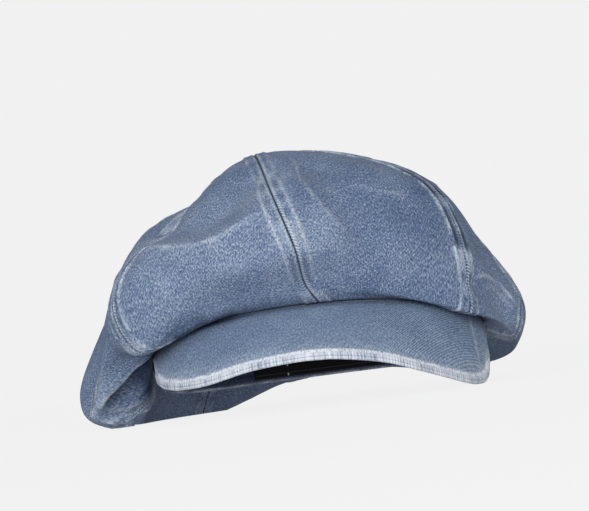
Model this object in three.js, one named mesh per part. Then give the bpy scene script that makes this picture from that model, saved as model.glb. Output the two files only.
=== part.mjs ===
// Soft eight-panel peaked cap in washed denim, lying on a level surface.
// Millimetres. +X is the wearer's left as seen from the front, +Y is the back of the cap, +Z is up, z = 0 is the surface that the cap rests on.
import * as THREE from "three";

// ---------------------------------------------------------------- driving dimensions
const RING_X = 4; // head ring's centre stands this much to the right of the crown's
const RING_HALF_WIDTH = 98; // head ring, outside, across
const RING_HALF_DEPTH = 90; // head ring, outside, front to back
const CLOTH = 1.6; // one seamed layer of heavy denim
const SEAM_GAP = 0.3; // clearance left between neighbouring pieces
const APEX = { x: -21.5, y: 9.5, z: 144.5 }; // where the eight panels meet
const APEX_HOLE = 1.7; // radius left open round the meeting point
const SEAM_SHIFT = { deg: 1.4, spread: 25 }; // the front seam is sewn a little off the middle of the ring

const BAND_HEIGHT = 30; // inner facing of the head ring
const BAND_THICK = 1.8;
const TAPE_HEIGHT = 26; // tape inside the back of the ring
const TAPE_THICK = 1.2;
const TAPE_HALF_ANGLE = 26; // degrees each side of the back

const PEAK_DEPTH = 48; // ring to front edge, seen from above
const PEAK_ANGLE = { left: 74.5, right: 77 }; // root of the peak along the ring, each side of the front
const PEAK_LAYER = 1.9; // one layer of the peak, turned edge included
const PEAK_ARCH = 1.6; // how far the peak crowns between root and edge
const PEAK_FLARE = { left: -0.01, right: -0.015 }; // the peak narrows by these shares from root to edge
const PEAK_CORNER = { left: 7.5, right: 6 }; // exponents of the rounded ends, larger is squarer

const ORIGIN_SHIFT = { x: 6.4, y: 4.85 }; // moves the cap so that the middle of its outline stands on the origin

const FLOOR_ROUND = 11; // where the slouched cloth meets the surface it is drawn in by this much
const FLOOR_REACH = 16; // height at which that drawing in starts

const PANEL_COLUMNS = 8;
const PANEL_ROWS = 26;

// ---------------------------------------------------------------- crown sections
// One row for each 22.5 degrees round the ring; deg 0 is the front, +90 the +X side.
// rimZ: height of the ring's edge. under, wide, shoulder, top: distance from the ring's centre and height of the cloth where it hangs
// lowest, stands widest, turns over and nears the top. lean: degrees that the section swings sideways at its widest.
const SECTIONS = [
  { deg: -180, rimZ: 15, underR: 112, underZ: 15, wideR: 128, wideZ: 47.5, shoulderR: 97.5, shoulderZ: 108.5, topR: 43.5, topZ: 143.5, lean: 11 },
  { deg: -157.5, rimZ: 15, underR: 108, underZ: 3, wideR: 130, wideZ: 48.5, shoulderR: 93.5, shoulderZ: 104, topR: 42, topZ: 142, lean: 7.5 },
  { deg: -135, rimZ: 15, underR: 105, underZ: -3, wideR: 135, wideZ: 44.5, shoulderR: 88, shoulderZ: 99, topR: 38.5, topZ: 138.5, lean: 3 },
  { deg: -112.5, rimZ: 17, underR: 111.5, underZ: -2, wideR: 137, wideZ: 22.5, shoulderR: 83.5, shoulderZ: 97.5, topR: 33.5, topZ: 131.5, lean: 18 },
  { deg: -90, rimZ: 29, underR: 100, underZ: 12.5, wideR: 129, wideZ: 5, shoulderR: 84, shoulderZ: 102, topR: 32, topZ: 128.5, lean: 10 },
  { deg: -67.5, rimZ: 43, underR: 111, underZ: 39, wideR: 129, wideZ: 43, shoulderR: 92, shoulderZ: 104.5, topR: 33.5, topZ: 128, lean: 4 },
  { deg: -45, rimZ: 51, underR: 124.5, underZ: 41, wideR: 134, wideZ: 72.5, shoulderR: 99, shoulderZ: 103, topR: 36.5, topZ: 129, lean: -6 },
  { deg: -22.5, rimZ: 55, underR: 104, underZ: 60, wideR: 119, wideZ: 80, shoulderR: 98, shoulderZ: 108.5, topR: 44.5, topZ: 139, lean: -6 },
  { deg: 0, rimZ: 55.5, underR: 97, underZ: 66, wideR: 110, wideZ: 86, shoulderR: 99, shoulderZ: 118, topR: 43.5, topZ: 145, lean: 0 },
  { deg: 22.5, rimZ: 53, underR: 101, underZ: 56.5, wideR: 111, wideZ: 88, shoulderR: 101, shoulderZ: 124, topR: 44.5, topZ: 146.5, lean: 5 },
  { deg: 45, rimZ: 48, underR: 116, underZ: 41.5, wideR: 114.5, wideZ: 90.5, shoulderR: 101.5, shoulderZ: 123.5, topR: 52, topZ: 143.5, lean: 7 },
  { deg: 67.5, rimZ: 40, underR: 117.5, underZ: 32, wideR: 114, wideZ: 71, shoulderR: 101.5, shoulderZ: 115, topR: 50.5, topZ: 143, lean: 0 },
  { deg: 90, rimZ: 28, underR: 119, underZ: 23, wideR: 126, wideZ: 52.5, shoulderR: 93, shoulderZ: 111, topR: 46.5, topZ: 141, lean: -11 },
  { deg: 112.5, rimZ: 17, underR: 120.5, underZ: 12, wideR: 128, wideZ: 48, shoulderR: 94.5, shoulderZ: 111, topR: 43, topZ: 139, lean: -7.5 },
  { deg: 135, rimZ: 15, underR: 114, underZ: 8, wideR: 127, wideZ: 47.5, shoulderR: 95.5, shoulderZ: 110.5, topR: 42.5, topZ: 140.5, lean: -1 },
  { deg: 157.5, rimZ: 15, underR: 113.5, underZ: 16, wideR: 127, wideZ: 47.5, shoulderR: 97.5, shoulderZ: 110.5, topR: 43.5, topZ: 142.5, lean: 5.5 },
];
// The levels between rim and apex: share of the way up the cloth, share of the apex's offset taken, share of the lean taken.
const LEVELS = [
  { r: "underR", z: "underZ", share: 0.12, offset: 0, lean: 0.7 },
  { r: "wideR", z: "wideZ", share: 0.36, offset: 0.15, lean: 1 },
  { r: "shoulderR", z: "shoulderZ", share: 0.66, offset: 0.55, lean: 0.7 },
  { r: "topR", z: "topZ", share: 0.86, offset: 0.85, lean: 0.3 },
];
const KNOTS = [0, ...LEVELS.map((l) => l.share), 1];

// ---------------------------------------------------------------- folds and dents
// line: places on the cloth as [degrees, share of the way up]; width: half width; rise: height, minus for a dent.
const FOLDS = [
  { name: "left_crease", width: 5.5, rise: 4, line: [[-65, 0.075], [-71.5, 0.16], [-76, 0.235], [-81, 0.33]] },
  { name: "left_pocket", width: 9, rise: -9, line: [[-77, 0.115], [-79.5, 0.18], [-80.5, 0.225]] },
  { name: "left_pocket_end", width: 7.5, rise: -2.5, line: [[-82, 0.255], [-83, 0.29]] },
  { name: "left_waist", width: 13, rise: -2.4, line: [[-50, 0.42], [-56, 0.37]] },
  { name: "left_slope", width: 20, rise: -2.4, line: [[-54, 0.58], [-70, 0.66]] },
  { name: "shoulder_ridge", width: 7, rise: 3, line: [[-35, 0.59], [-21, 0.515], [-15, 0.515], [-9, 0.555], [-4.5, 0.58]] },
  { name: "shoulder_hollow", width: 13, rise: -5, line: [[-44, 0.72], [-32.5, 0.69], [-20, 0.66], [-13.5, 0.685], [-8.5, 0.74]] },
  { name: "front_ridge", width: 7, rise: 2, line: [[8.5, 0.805], [7.5, 0.66], [9, 0.505], [11, 0.395]] },
  { name: "front_hollow", width: 12, rise: -4, line: [[17, 0.725], [15, 0.595], [16, 0.46], [17, 0.35]] },
  { name: "right_ridge", width: 6, rise: 2.5, line: [[53, 0.245], [73, 0.275], [83.5, 0.27]] },
  { name: "right_groove", width: 7, rise: -4, line: [[49, 0.205], [62.5, 0.205], [78, 0.215]] },
  { name: "back_hollow", width: 14, rise: -4, line: [[-172, 0.3], [-158, 0.42], [-150, 0.55]] },
  { name: "back_right_hollow", width: 14, rise: -4, line: [[118, 0.3], [128, 0.42], [134, 0.56]] },
];

// ---------------------------------------------------------------- peak sections
// deg: place along the ring. fall: drop of the peak for each millimetre forward of the ring.
const PEAK = [
  { deg: -74.5, fall: 0.32 },
  { deg: -65, fall: 0.45 },
  { deg: -52, fall: 0.56 },
  { deg: -39, fall: 0.6 },
  { deg: -23, fall: 0.56 },
  { deg: -2, fall: 0.54 },
  { deg: 10, fall: 0.575 },
  { deg: 21, fall: 0.63 },
  { deg: 31, fall: 0.715 },
  { deg: 43, fall: 0.79 },
  { deg: 53, fall: 0.83 },
  { deg: 60, fall: 0.827 },
  { deg: 68, fall: 0.77 },
  { deg: 77, fall: 0.58 },
];

// ---------------------------------------------------------------- shape functions
const rad = THREE.MathUtils.degToRad;
const V = (x, y, z) => new THREE.Vector3(x, y, z);

function cubic(p0, p1, p2, p3, f) {
  return 0.5 * (2 * p1 + (p2 - p0) * f + (2 * p0 - 5 * p1 + 4 * p2 - p3) * f * f + (3 * p1 - p0 - 3 * p2 + p3) * f * f * f);
}

function section(column, th) {
  const n = SECTIONS.length;
  const x = ((th + Math.PI) / (2 * Math.PI)) * n;
  const i = Math.floor(x);
  const at = (k) => SECTIONS[(((i + k) % n) + n) % n][column];
  return cubic(at(-1), at(0), at(1), at(2), x - i);
}

function wrap(th) {
  return th - 2 * Math.PI * Math.round(th / (2 * Math.PI));
}

function ring(th, inset = 0) {
  return V(RING_X + (RING_HALF_WIDTH - inset) * Math.sin(th), -(RING_HALF_DEPTH - inset) * Math.cos(th), section("rimZ", th));
}

function rim(th) {
  const off = wrap(th) / rad(SEAM_SHIFT.spread);
  const p = ring(th + rad(SEAM_SHIFT.deg) * Math.exp(-off * off));
  p.z = section("rimZ", th);
  return p;
}

function level(k, th) {
  const l = LEVELS[k];
  const a = th + rad(section("lean", th)) * l.lean;
  const r = section(l.r, th);
  return V(Math.sin(a) * r + APEX.x * l.offset, -Math.cos(a) * r + APEX.y * l.offset, section(l.z, th));
}

// The plane that the cloth lies in at the apex, from the section points nearest to it.
const apexSlope = (() => {
  let xx = 0, xy = 0, yy = 0, xz = 0, yz = 0;
  for (const s of SECTIONS) {
    const p = level(3, rad(s.deg));
    const x = p.x - APEX.x, y = p.y - APEX.y, z = p.z - APEX.z;
    xx += x * x; xy += x * y; yy += y * y; xz += x * z; yz += y * z;
  }
  const det = xx * yy - xy * xy;
  return { x: (xz * yy - yz * xy) / det, y: (yz * xx - xz * xy) / det };
})();

// Point of the undented crown at angle th and share t of the way from rim to apex.
function smooth(th, t) {
  const P = [rim(th), level(0, th), level(1, th), level(2, th), level(3, th), V(APEX.x, APEX.y, APEX.z)];
  const before = P[0].clone().addScaledVector(P[0].clone().sub(P[1]), 0.5);
  const e = P[5].clone().sub(P[4]).multiplyScalar(0.6);
  e.z = e.x * apexSlope.x + e.y * apexSlope.y - Math.hypot(e.x, e.y) * 0.04;
  const after = P[5].clone().add(e);
  P.unshift(before);
  P.push(after);
  const K = [-KNOTS[1], ...KNOTS, 2 - KNOTS[4]];
  let j = 0;
  while (j < 4 && t >= KNOTS[j + 1]) j++;
  const h = K[j + 2] - K[j + 1];
  const f = (t - K[j + 1]) / h;
  const m1 = P[j + 2].clone().sub(P[j]).multiplyScalar(h / (K[j + 2] - K[j]));
  const m2 = P[j + 3].clone().sub(P[j + 1]).multiplyScalar(h / (K[j + 3] - K[j + 1]));
  return V(0, 0, 0)
    .addScaledVector(P[j + 1], 2 * f ** 3 - 3 * f ** 2 + 1)
    .addScaledVector(m1, f ** 3 - 2 * f ** 2 + f)
    .addScaledVector(P[j + 2], -2 * f ** 3 + 3 * f ** 2)
    .addScaledVector(m2, f ** 3 - f ** 2);
}

function outward(th, t) {
  const a = Math.min(t + 0.004, 0.998), b = Math.max(t - 0.004, 0);
  const up = smooth(th, a).sub(smooth(th, b));
  const round = smooth(th + 0.01, Math.min(t, 0.99)).sub(smooth(th - 0.01, Math.min(t, 0.99)));
  return round.cross(up).normalize();
}

const foldLines = FOLDS.map((f) => ({ ...f, points: f.line.map(([deg, t]) => smooth(rad(deg), t)) }));

function foldRise(p) {
  let sum = 0;
  for (const f of foldLines) {
    let best = Infinity;
    for (let i = 0; i + 1 < f.points.length; i++) {
      const near = new THREE.Line3(f.points[i], f.points[i + 1]).closestPointToPoint(p, true, V(0, 0, 0));
      best = Math.min(best, near.distanceTo(p));
    }
    sum += f.rise * Math.exp(-((best / f.width) ** 2));
  }
  return sum;
}

// The cloth lies flat where it would pass below the surface it rests on, and turns in to it in a soft round.
function settle(p, least) {
  p.z = Math.max(p.z, least);
  const x = p.x - RING_X, r = Math.hypot(x, p.y);
  const inward = FLOOR_ROUND * Math.max(0, 1 - p.z / FLOOR_REACH) ** 4 * THREE.MathUtils.clamp((r - 100) / 25, 0, 1);
  p.x = RING_X + x * (1 - inward / r);
  p.y *= 1 - inward / r;
  return p;
}

// Outside and inside of the crown's cloth.
function cloth(th, t) {
  const p = smooth(th, t);
  const n = outward(th, t);
  const out = p.clone().addScaledVector(n, foldRise(p) * THREE.MathUtils.smoothstep(t, 0.01, 0.06));
  const inn = out.clone().addScaledVector(n, -CLOTH);
  return [settle(out, 0), settle(inn, CLOTH)];
}

// A closed body between two grids of points that share their edges' order: outer[i][j] faces out.
function sheetBody(outer, inner) {
  const rows = outer.length, cols = outer[0].length;
  const pos = [];
  for (const grid of [outer, inner]) for (const row of grid) for (const p of row) pos.push(p.x, p.y, p.z);
  const id = (side, i, j) => (side * rows + i) * cols + j;
  const idx = [];
  const quad = (a, b, c, d) => idx.push(a, b, c, a, c, d);
  for (let i = 0; i + 1 < rows; i++)
    for (let j = 0; j + 1 < cols; j++) {
      quad(id(0, i, j), id(0, i, j + 1), id(0, i + 1, j + 1), id(0, i + 1, j));
      quad(id(1, i, j), id(1, i + 1, j), id(1, i + 1, j + 1), id(1, i, j + 1));
    }
  for (let j = 0; j + 1 < cols; j++) {
    quad(id(0, 0, j + 1), id(0, 0, j), id(1, 0, j), id(1, 0, j + 1));
    quad(id(0, rows - 1, j), id(0, rows - 1, j + 1), id(1, rows - 1, j + 1), id(1, rows - 1, j));
  }
  for (let i = 0; i + 1 < rows; i++) {
    quad(id(0, i, 0), id(0, i + 1, 0), id(1, i + 1, 0), id(1, i, 0));
    quad(id(0, i + 1, cols - 1), id(0, i, cols - 1), id(1, i, cols - 1), id(1, i + 1, cols - 1));
  }
  const g = new THREE.BufferGeometry();
  g.setAttribute("position", new THREE.Float32BufferAttribute(pos, 3));
  g.setIndex(idx);
  g.computeVertexNormals();
  return g;
}

// A closed ring body whose section is the loop of corners given at each angle.
function ringBody(corners, steps) {
  const pos = [], idx = [], n = corners(0).length;
  for (let i = 0; i < steps; i++) for (const p of corners((2 * Math.PI * i) / steps)) pos.push(p.x, p.y, p.z);
  for (let i = 0; i < steps; i++)
    for (let k = 0; k < n; k++) {
      const a = i * n + k, b = ((i + 1) % steps) * n + k, c = ((i + 1) % steps) * n + ((k + 1) % n), d = i * n + ((k + 1) % n);
      idx.push(a, c, b, a, d, c);
    }
  const g = new THREE.BufferGeometry();
  g.setAttribute("position", new THREE.Float32BufferAttribute(pos, 3));
  g.setIndex(idx);
  g.computeVertexNormals();
  return g;
}

// ---------------------------------------------------------------- crown panels
function panel(fromDeg, toDeg) {
  const outer = [], inner = [];
  const end = 1 - APEX_HOLE / smooth(rad((fromDeg + toDeg) / 2), 1).distanceTo(smooth(rad((fromDeg + toDeg) / 2), 0.99)) / 100;
  for (let i = 0; i <= PANEL_ROWS; i++) {
    const s = i / PANEL_ROWS;
    const t = end * (0.92 * s + 0.08 * s * s * s); // a little finer near the rim, where the cloth turns
    const a0 = rad(fromDeg), a1 = rad(toDeg);
    const half = SEAM_GAP;
    const g0 = half / (smooth(a0 + 0.02, t).distanceTo(smooth(a0, t)) / 0.02);
    const g1 = half / (smooth(a1 - 0.02, t).distanceTo(smooth(a1, t)) / 0.02);
    const ro = [], ri = [];
    for (let j = 0; j <= PANEL_COLUMNS; j++) {
      const [o, n] = cloth(a0 + g0 + (a1 - g1 - a0 - g0) * (j / PANEL_COLUMNS), t);
      ro.push(o);
      ri.push(n);
    }
    outer.push(ro);
    inner.push(ri);
  }
  return sheetBody(outer, inner);
}

// ---------------------------------------------------------------- peak
function fall(deg) {
  let i = 0;
  while (i + 2 < PEAK.length && deg > PEAK[i + 1].deg) i++;
  const at = (k) => PEAK[Math.min(Math.max(k, 0), PEAK.length - 1)].fall;
  const f = THREE.MathUtils.clamp((deg - PEAK[i].deg) / (PEAK[i + 1].deg - PEAK[i].deg), 0, 1);
  return cubic(at(i - 1), at(i), at(i + 1), at(i + 2), f);
}

// Point of the peak's upper surface: s from -1 to 1 along the root, v from 0 at the ring to 1 at the edge.
function peakPoint(s, v, below) {
  const side = s < 0 ? "left" : "right";
  const deg = PEAK_ANGLE[side] * s;
  const root = ring(rad(deg), -SEAM_GAP - 0.1);
  const p = PEAK_CORNER[side];
  const depth = PEAK_DEPTH * (1 - Math.abs(s) ** p) ** (1 / p);
  const y = depth * v;
  const wide = 1 + PEAK_FLARE[side] * Math.min(1, y / 40);
  return V(RING_X + (root.x - RING_X) * wide, root.y - y, root.z - SEAM_GAP - 0.1 - fall(deg) * y + PEAK_ARCH * 4 * v * (1 - v) * (depth / PEAK_DEPTH) - below);
}

function peakLayer(below) {
  const top = [], bottom = [], across = 26, deep = 6, reach = 0.9994;
  for (let i = 0; i <= deep; i++) {
    const rt = [], rb = [];
    for (let j = 0; j <= across; j++) {
      const u = (2 * j) / across - 1;
      const s = reach * (0.45 * u + 0.55 * Math.sin((Math.PI / 2) * u)); // closer steps at the ends
      rt.push(peakPoint(s, i / deep, below));
      rb.push(peakPoint(s, i / deep, below + PEAK_LAYER));
    }
    top.unshift(rt);
    bottom.unshift(rb);
  }
  return sheetBody(top, bottom);
}

// ---------------------------------------------------------------- headband and tape
const bandInset = CLOTH + SEAM_GAP;
const headband = ringBody((th) => {
  const section4 = [
    [bandInset, 0.2],
    [bandInset + BAND_THICK, 0.2],
    [bandInset + BAND_THICK + 0.8, BAND_HEIGHT],
    [bandInset + 0.8, BAND_HEIGHT],
  ];
  return section4.map(([inset, dz]) => ring(th, inset).add(V(0, 0, dz)));
}, 80);

function tape() {
  const face = [], back = [], steps = 20;
  for (const up of [1.2, 1.2 + TAPE_HEIGHT]) {
    const rf = [], rb = [];
    for (let j = 0; j <= steps; j++) {
      const th = Math.PI + rad(TAPE_HALF_ANGLE) * (1 - (2 * j) / steps);
      const inset = bandInset + BAND_THICK + 0.3 + (0.8 * up) / BAND_HEIGHT;
      rf.push(ring(th, inset + TAPE_THICK).add(V(0, 0, up)));
      rb.push(ring(th, inset).add(V(0, 0, up)));
    }
    face.push(rf);
    back.push(rb);
  }
  return sheetBody(face, back);
}

// ---------------------------------------------------------------- assembly
const denim = (color, roughness = 0.92) => new THREE.MeshStandardMaterial({ color, roughness, metalness: 0 });
const cap = new THREE.Group();
cap.name = "peaked_cap";
cap.position.set(ORIGIN_SHIFT.x, ORIGIN_SHIFT.y, 0);

const crown = new THREE.Group();
crown.name = "crown";
const PANELS = [
  { name: "crown_panel_back_left", from: -180, to: -135, color: 0x566b8f },
  { name: "crown_panel_side_left_back", from: -135, to: -90, color: 0x5f7599 },
  { name: "crown_panel_side_left_front", from: -90, to: -45, color: 0x667da2 },
  { name: "crown_panel_front_left", from: -45, to: 0, color: 0x6e85a9 },
  { name: "crown_panel_front_right", from: 0, to: 45, color: 0x6c83a6 },
  { name: "crown_panel_side_right_front", from: 45, to: 90, color: 0x647b9f },
  { name: "crown_panel_side_right_back", from: 90, to: 135, color: 0x5d7397 },
  { name: "crown_panel_back_right", from: 135, to: 180, color: 0x586d91 },
];
for (const p of PANELS) {
  const mesh = new THREE.Mesh(panel(p.from, p.to), denim(p.color));
  mesh.name = p.name;
  crown.add(mesh);
}
cap.add(crown);

const pieces = [
  { name: "headband", geometry: headband, material: denim(0x33415e) },
  { name: "back_elastic", geometry: tape(), material: denim(0x15161a, 0.8) },
  { name: "peak_upper", geometry: peakLayer(0), material: denim(0x7d93b2) },
  { name: "peak_under", geometry: peakLayer(PEAK_LAYER + SEAM_GAP + 0.1), material: denim(0x6b82a5) },
];
for (const p of pieces) {
  const mesh = new THREE.Mesh(p.geometry, p.material);
  mesh.name = p.name;
  cap.add(mesh);
}

export default cap;
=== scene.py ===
import math

import bpy
import numpy as np
from mathutils import Matrix, Vector


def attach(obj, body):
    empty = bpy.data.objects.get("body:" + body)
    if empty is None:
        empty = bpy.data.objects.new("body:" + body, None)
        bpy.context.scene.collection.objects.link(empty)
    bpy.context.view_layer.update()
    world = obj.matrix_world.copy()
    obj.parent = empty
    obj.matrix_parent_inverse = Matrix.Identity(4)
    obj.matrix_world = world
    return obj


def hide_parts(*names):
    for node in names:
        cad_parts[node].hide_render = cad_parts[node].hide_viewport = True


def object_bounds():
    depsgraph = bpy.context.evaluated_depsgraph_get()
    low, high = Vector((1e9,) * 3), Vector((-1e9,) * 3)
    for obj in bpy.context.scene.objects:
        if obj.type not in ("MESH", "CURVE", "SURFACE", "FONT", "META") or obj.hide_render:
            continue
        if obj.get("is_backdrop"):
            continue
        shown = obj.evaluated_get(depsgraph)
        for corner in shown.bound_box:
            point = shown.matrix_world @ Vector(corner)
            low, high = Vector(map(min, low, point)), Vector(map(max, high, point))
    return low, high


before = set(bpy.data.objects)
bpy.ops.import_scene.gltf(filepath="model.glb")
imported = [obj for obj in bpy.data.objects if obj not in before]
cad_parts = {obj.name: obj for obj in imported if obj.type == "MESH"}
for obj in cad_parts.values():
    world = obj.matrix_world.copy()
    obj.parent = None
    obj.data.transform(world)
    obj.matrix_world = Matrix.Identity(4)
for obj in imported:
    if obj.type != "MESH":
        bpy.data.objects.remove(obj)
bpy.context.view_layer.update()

SHIFT = np.array([6.4, 4.85, 0.0])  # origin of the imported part, seen from the crown's own centre
RING_X = 4.0
RING_HALF_WIDTH = 98.0
RING_HALF_DEPTH = 90.0
CLOTH = 1.6
APEX = np.array([-21.5, 9.5, 144.5])
SEAM_SHIFT = (1.4, 25.0)
BAND_HEIGHT = 30.0
TAPE_HALF_ANGLE = 26.0
PEAK_DEPTH = 48.0
PEAK_ANGLE = (74.5, 77.0)
PEAK_LAYER = 1.9
PEAK_ARCH = 1.6
PEAK_FLARE = (-0.01, -0.015)
PEAK_CORNER = (7.5, 6.0)
FLOOR_ROUND = 11.0
FLOOR_REACH = 16.0

# deg, rimZ, underR, underZ, wideR, wideZ, shoulderR, shoulderZ, topR, topZ, lean
SECTIONS = np.array([
    (-180, 15, 112, 15, 128, 47.5, 97.5, 108.5, 43.5, 143.5, 11),
    (-157.5, 15, 108, 3, 130, 48.5, 93.5, 104, 42, 142, 7.5),
    (-135, 15, 105, -3, 135, 44.5, 88, 99, 38.5, 138.5, 3),
    (-112.5, 17, 111.5, -2, 137, 22.5, 83.5, 97.5, 33.5, 131.5, 18),
    (-90, 29, 100, 12.5, 129, 5, 84, 102, 32, 128.5, 10),
    (-67.5, 43, 111, 39, 129, 43, 92, 104.5, 33.5, 128, 4),
    (-45, 51, 124.5, 41, 134, 72.5, 99, 103, 36.5, 129, -6),
    (-22.5, 55, 104, 60, 119, 80, 98, 108.5, 44.5, 139, -6),
    (0, 55.5, 97, 66, 110, 86, 99, 118, 43.5, 145, 0),
    (22.5, 53, 101, 56.5, 111, 88, 101, 124, 44.5, 146.5, 5),
    (45, 48, 116, 41.5, 114.5, 90.5, 101.5, 123.5, 52, 143.5, 7),
    (67.5, 40, 117.5, 32, 114, 71, 101.5, 115, 50.5, 143, 0),
    (90, 28, 119, 23, 126, 52.5, 93, 111, 46.5, 141, -11),
    (112.5, 17, 120.5, 12, 128, 48, 94.5, 111, 43, 139, -7.5),
    (135, 15, 114, 8, 127, 47.5, 95.5, 110.5, 42.5, 140.5, -1),
    (157.5, 15, 113.5, 16, 127, 47.5, 97.5, 110.5, 43.5, 142.5, 5.5),
], float)
# share of the way up, share of the apex's offset, share of the lean
LEVELS = np.array([(0.12, 0.0, 0.7), (0.36, 0.15, 1.0), (0.66, 0.55, 0.7), (0.86, 0.85, 0.3)])
KNOTS = np.array([0, *LEVELS[:, 0], 1])
K = np.array([-KNOTS[1], *KNOTS, 2 - KNOTS[4]])

# name, half width, rise, line as (degrees, share of the way up)
FOLDS = [
    ("left_crease", 5.5, 4, [(-65, 0.075), (-71.5, 0.16), (-76, 0.235), (-81, 0.33)]),
    ("left_pocket", 9, -9, [(-77, 0.115), (-79.5, 0.18), (-80.5, 0.225)]),
    ("left_pocket_end", 7.5, -2.5, [(-82, 0.255), (-83, 0.29)]),
    ("left_waist", 13, -2.4, [(-50, 0.42), (-56, 0.37)]),
    ("left_slope", 20, -2.4, [(-54, 0.58), (-70, 0.66)]),
    ("shoulder_ridge", 7, 3, [(-35, 0.59), (-21, 0.515), (-15, 0.515), (-9, 0.555), (-4.5, 0.58)]),
    ("shoulder_hollow", 13, -5, [(-44, 0.72), (-32.5, 0.69), (-20, 0.66), (-13.5, 0.685), (-8.5, 0.74)]),
    ("front_ridge", 7, 2, [(8.5, 0.805), (7.5, 0.66), (9, 0.505), (11, 0.395)]),
    ("front_hollow", 12, -4, [(17, 0.725), (15, 0.595), (16, 0.46), (17, 0.35)]),
    ("right_ridge", 6, 2.5, [(53, 0.245), (73, 0.275), (83.5, 0.27)]),
    ("right_groove", 7, -4, [(49, 0.205), (62.5, 0.205), (78, 0.215)]),
    ("back_hollow", 14, -4, [(-172, 0.3), (-158, 0.42), (-150, 0.55)]),
    ("back_right_hollow", 14, -4, [(118, 0.3), (128, 0.42), (134, 0.56)]),
]
# Finer creases: half width, rise, how worn the top of the crease is, line.
CREASES = [
    ("left_edge", 1.6, 0.9, 0.9, [(-66, 0.06), (-71.5, 0.15), (-76, 0.235), (-79, 0.30), (-81, 0.34)]),
    ("left_low_a", 1.2, 0.5, 0.75, [(-103.5, 0.035), (-101, 0.06), (-91, 0.156), (-87.2, 0.213), (-85, 0.278)]),
    ("left_low_b", 1.1, 0.5, 0.7, [(-107, 0.037), (-96.2, 0.099), (-90.8, 0.184), (-87.5, 0.253), (-87.5, 0.352)]),
    ("left_low_c", 1.1, 0.4, 0.6, [(-88.5, 0.094), (-86.8, 0.159), (-85.5, 0.213), (-83, 0.28)]),
    ("shoulder_line", 1.8, 0.6, 0.55, [(-38, 0.6), (-29, 0.55), (-21, 0.515), (-15, 0.515), (-9, 0.555), (-4.5, 0.58)]),
    ("front_line", 1.0, 0.5, 0.6, [(14.5, 0.8), (11, 0.735), (9.2, 0.69), (9.2, 0.635), (9.5, 0.576), (10.5, 0.511), (11.5, 0.444), (13.5, 0.36)]),
    ("front_short", 1.6, 0.35, 0.25, [(20, 0.62), (27, 0.55), (33, 0.5)]),
    ("right_line", 1.3, 0.6, 0.6, [(48, 0.225), (55, 0.241), (62, 0.256), (71.5, 0.278), (79.2, 0.273), (84.5, 0.26)]),
    ("right_line_low", 1.3, 0.5, 0.4, [(56, 0.228), (67, 0.246), (77.5, 0.247), (83, 0.236)]),
    ("tuck_a", 1.2, -1.0, 0.0, [(86.5, 0.045), (84, 0.055), (80.5, 0.07)]),
    ("tuck_b", 1.2, 0.8, 0.6, [(87, 0.062), (84, 0.074), (80, 0.088)]),
    ("lifted_edge", 6.5, -3.2, 0.0, [(-40.5, 0.085), (-35, 0.1), (-31, 0.1), (-28.5, 0.085)]),
    ("back_a", 2.5, 0.8, 0.3, [(-160, 0.28), (-150, 0.4), (-143, 0.52)]),
    ("back_b", 2.5, 0.8, 0.3, [(150, 0.3), (142, 0.42), (138, 0.55)]),
    ("back_c", 2.2, 0.6, 0.25, [(170, 0.5), (176, 0.6), (-176, 0.7)]),
    ("side_a", 2.2, 0.7, 0.3, [(100, 0.5), (108, 0.42), (120, 0.36)]),
    ("left_top", 2.0, 0.6, 0.3, [(-60, 0.66), (-72, 0.6), (-84, 0.58)]),
]
# deg along the ring, drop of the peak for each millimetre forward
PEAK = np.array([
    (-74.5, 0.32),
    (-65, 0.45),
    (-52, 0.56),
    (-39, 0.6),
    (-23, 0.56),
    (-2, 0.54),
    (10, 0.575),
    (21, 0.63),
    (31, 0.715),
    (43, 0.79),
    (53, 0.83),
    (60, 0.827),
    (68, 0.77),
    (77, 0.58),
], float)


# ------------------------------------------------------------------ shape functions
def rad(a):
    return np.radians(a)


def cubic(p0, p1, p2, p3, f):
    return 0.5 * (2 * p1 + (p2 - p0) * f + (2 * p0 - 5 * p1 + 4 * p2 - p3) * f * f + (3 * p1 - p0 - 3 * p2 + p3) * f**3)


def section(col, th):
    n = len(SECTIONS)
    x = (th + np.pi) / (2 * np.pi) * n
    i = np.floor(x).astype(int)
    c = SECTIONS[:, col]
    return cubic(c[(i - 1) % n], c[i % n], c[(i + 1) % n], c[(i + 2) % n], x - i)


def wrap(th):
    return th - 2 * np.pi * np.round(th / (2 * np.pi))


def ring(th, inset=0.0):
    th = np.asarray(th, float)
    return np.stack([
        RING_X + (RING_HALF_WIDTH - inset) * np.sin(th),
        -(RING_HALF_DEPTH - inset) * np.cos(th),
        section(1, th),
    ], -1)


def rim(th):
    off = wrap(th) / rad(SEAM_SHIFT[1])
    p = ring(th + rad(SEAM_SHIFT[0]) * np.exp(-off * off))
    p[..., 2] = section(1, th)
    return p


def level(k, th):
    share, offset, lean = LEVELS[k]
    a = th + rad(section(10, th)) * lean
    r = section(2 + 2 * k, th)
    return np.stack([np.sin(a) * r + APEX[0] * offset, -np.cos(a) * r + APEX[1] * offset, section(3 + 2 * k, th)], -1)


def _apex_slope():
    e = level(3, rad(SECTIONS[:, 0])) - APEX
    return np.linalg.solve(e[:, :2].T @ e[:, :2], e[:, :2].T @ e[:, 2])


SLOPE = _apex_slope()


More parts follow.
